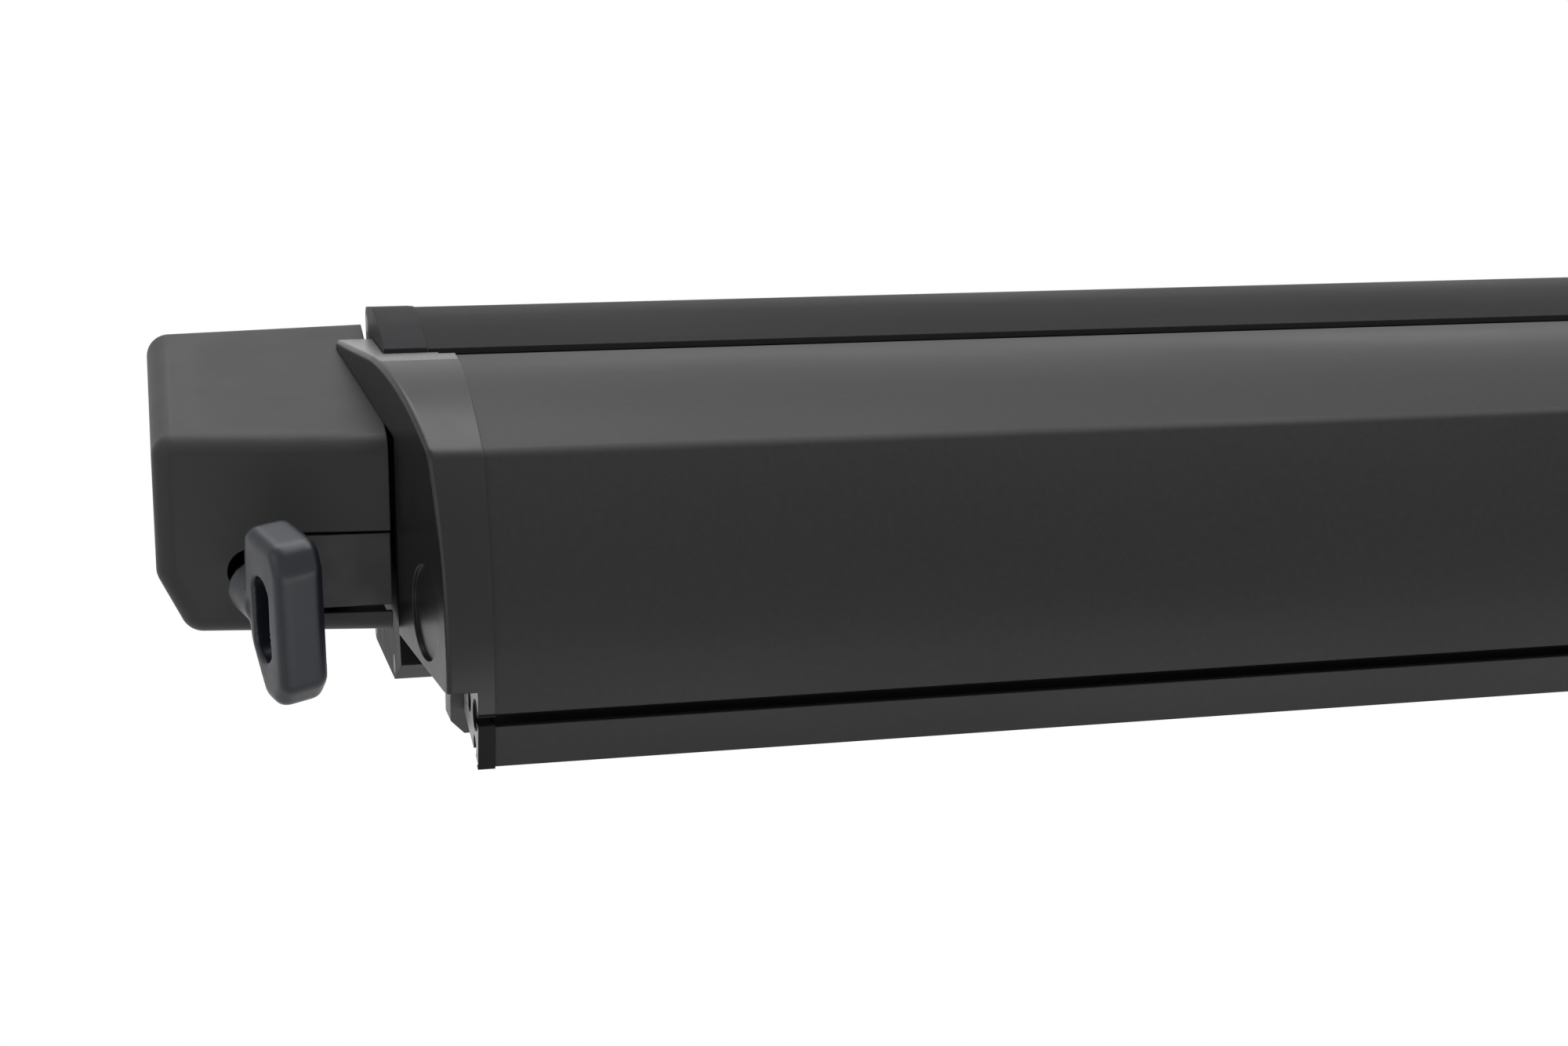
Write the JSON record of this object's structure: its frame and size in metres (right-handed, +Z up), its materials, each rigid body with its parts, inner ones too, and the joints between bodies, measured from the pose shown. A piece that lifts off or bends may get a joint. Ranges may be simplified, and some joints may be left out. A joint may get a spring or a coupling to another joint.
{
  "type": "roll out awning",
  "caption": "Case awning that rolls out on folding arms, with a worm-geared roller, a front lead bar and support legs stowed under it.",
  "frame": {"origin": "centre of the case's rear mounting face", "axes": "+X along the awning, right as seen from the front; +Y out of the rear face, towards the vehicle; +Z up"},
  "size_m": [2.909, 0.1875, 0.1544],
  "materials": {
    "case_black": "satin black powder coat on extruded aluminium",
    "cap_black": "fine matt moulded plastic",
    "cover_grey": "satin moulded plastic",
    "housing_black": "glass-filled moulded plastic",
    "eye_black": "satin black cast metal",
    "shaft_steel": "bright plated steel",
    "gear_brass": "machined bronze",
    "plain_aluminium": "mill finish",
    "arm_paint": "satin black powder coat",
    "cast_paint": "satin black powder coat on cast aluminium",
    "screw_black": "black coated steel",
    "pin_steel": "zinc plated",
    "canopy_grey": "woven coated fabric",
    "seal_rubber": "extruded rubber",
    "foot_rubber": "moulded rubber"
  },
  "bodies": {
    "case": {"case_extrusion": "case_black", "seal_strip": "seal_rubber", "gear_cover": "cover_grey", "gear_housing_inner": "housing_black", "gear_housing_outer": "housing_black", "end_cover": "cover_grey", "left_case_cap": "cap_black", "right_case_cap": "cap_black", "left_cap_screws": "screw_black", "right_cap_screws": "screw_black", "left_roller_bush": "housing_black", "right_roller_bush": "housing_black", "left_shoulder_bracket": "cast_paint", "right_shoulder_bracket": "cast_paint", "left_shoulder_pin": "pin_steel", "right_shoulder_pin": "pin_steel"},
    "roller": {"roller_tube": "plain_aluminium", "roller_plug_left": "pin_steel", "roller_plug_right": "pin_steel", "worm_wheel": "gear_brass", "canopy_roll": "canopy_grey"},
    "worm": {"worm_shaft": "shaft_steel"},
    "crank_eye_body": {"crank_eye": "eye_black"},
    "canopy_hem": {"canopy_sheet": "canopy_grey"},
    "lead_bar_body": {"lead_bar": "case_black", "hem_rod": "housing_black", "left_lead_bar_cap": "cap_black", "right_lead_bar_cap": "cap_black", "left_groove_clip": "cap_black", "right_groove_clip": "cap_black", "left_wrist_bracket": "cast_paint", "right_wrist_bracket": "cast_paint", "left_wrist_pin": "pin_steel", "right_wrist_pin": "pin_steel", "left_leg_pin": "pin_steel", "right_leg_pin": "pin_steel"},
    "left_upper_arm": {"left_shoulder_hub": "cast_paint", "left_upper_tube": "arm_paint", "left_elbow_fork": "cast_paint", "left_elbow_pin": "pin_steel"},
    "left_forearm": {"left_elbow_tongue": "cast_paint", "left_forearm_tube": "arm_paint", "left_wrist_hub": "cast_paint"},
    "left_leg": {"left_leg_outer": "arm_paint", "left_leg_clamp": "cap_black"},
    "left_leg_slider": {"left_leg_inner": "plain_aluminium", "left_leg_foot": "foot_rubber"},
    "right_upper_arm": {"right_shoulder_hub": "cast_paint", "right_upper_tube": "arm_paint", "right_elbow_fork": "cast_paint", "right_elbow_pin": "pin_steel"},
    "right_forearm": {"right_elbow_tongue": "cast_paint", "right_forearm_tube": "arm_paint", "right_wrist_hub": "cast_paint"},
    "right_leg": {"right_leg_outer": "arm_paint", "right_leg_clamp": "cap_black"},
    "right_leg_slider": {"right_leg_inner": "plain_aluminium", "right_leg_foot": "foot_rubber"}
  },
  "joints": [
    {"name": "left_shoulder", "type": "hinge", "parent": "case", "child": "left_upper_arm", "pos_m": [-1.308, -0.104, -0.012], "axis": [0, 0.1478, -0.989], "range_deg": [0, 52]},
    {"name": "left_elbow", "type": "hinge", "parent": "left_upper_arm", "child": "left_forearm", "pos_m": [-0.05816, -0.12378, -0.01496], "axis": [0, 0.1478, -0.989], "range_deg": [-104, 0]},
    {"name": "left_wrist", "type": "hinge", "parent": "left_forearm", "child": "lead_bar_body", "pos_m": [-1.308, -0.14356, -0.01791], "axis": [0, 0.1478, -0.989], "range_deg": [0, 52]},
    {"name": "right_shoulder", "type": "hinge", "parent": "case", "child": "right_upper_arm", "pos_m": [1.308, -0.104, -0.012], "axis": [0, 0.1478, -0.989], "range_deg": [-52, 0]},
    {"name": "right_elbow", "type": "hinge", "parent": "right_upper_arm", "child": "right_forearm", "pos_m": [0.05816, -0.12378, -0.01496], "axis": [0, 0.1478, -0.989], "range_deg": [0, 104]},
    {"name": "roller_spin", "type": "hinge", "parent": "case", "child": "roller", "pos_m": [0, -0.044, 0.02], "axis": [1, 0, 0], "range_deg": [0, 3489.44]},
    {"name": "worm_spin", "type": "hinge", "parent": "case", "child": "worm", "pos_m": [-1.45, -0.0408, -0.00847], "axis": [0, 0.9937, 0.1117], "range_deg": [-45359.72, 0]},
    {"name": "eye_spin", "type": "hinge", "parent": "case", "child": "crank_eye_body", "pos_m": [-1.45, -0.13, -0.0185], "axis": [0.365, -0.9034, -0.225], "range_deg": [0, 45359.72]},
    {"name": "canopy_slide", "type": "slide", "parent": "case", "child": "canopy_hem", "axis": [0, -0.989, -0.1478], "range_m": [0, 1.9564]},
    {"name": "left_leg_swing", "type": "hinge", "parent": "lead_bar_body", "child": "left_leg", "pos_m": [-1.366, -0.131, -0.0655], "axis": [0, 1, 0], "range_deg": [0, 90]},
    {"name": "left_leg_slide", "type": "slide", "parent": "left_leg", "child": "left_leg_slider", "axis": [1, 0, 0], "range_m": [0, 0.841]},
    {"name": "right_leg_swing", "type": "hinge", "parent": "lead_bar_body", "child": "right_leg", "pos_m": [1.366, -0.131, -0.0655], "axis": [0, -1, 0], "range_deg": [0, 90]},
    {"name": "right_leg_slide", "type": "slide", "parent": "right_leg", "child": "right_leg_slider", "axis": [-1, 0, 0], "range_m": [0, 0.841]}
  ],
  "couplings": [
    {"joint": "left_elbow", "follows": "left_shoulder", "ratio": -2},
    {"joint": "left_wrist", "follows": "left_shoulder", "ratio": 1},
    {"joint": "right_shoulder", "follows": "left_shoulder", "ratio": -1},
    {"joint": "right_elbow", "follows": "left_shoulder", "ratio": 2},
    {"joint": "roller_spin", "follows": "left_shoulder", "ratio": 67.085},
    {"joint": "worm_spin", "follows": "left_shoulder", "ratio": -872.11},
    {"joint": "eye_spin", "follows": "left_shoulder", "ratio": 872.11},
    {"joint": "canopy_slide", "follows": "left_shoulder", "m_per_rad": 2.1534},
    {"joint": "left_leg_slide", "follows": "left_leg_swing", "m_per_rad": 0.53476},
    {"joint": "right_leg_slide", "follows": "right_leg_swing", "m_per_rad": 0.53476}
  ]
}
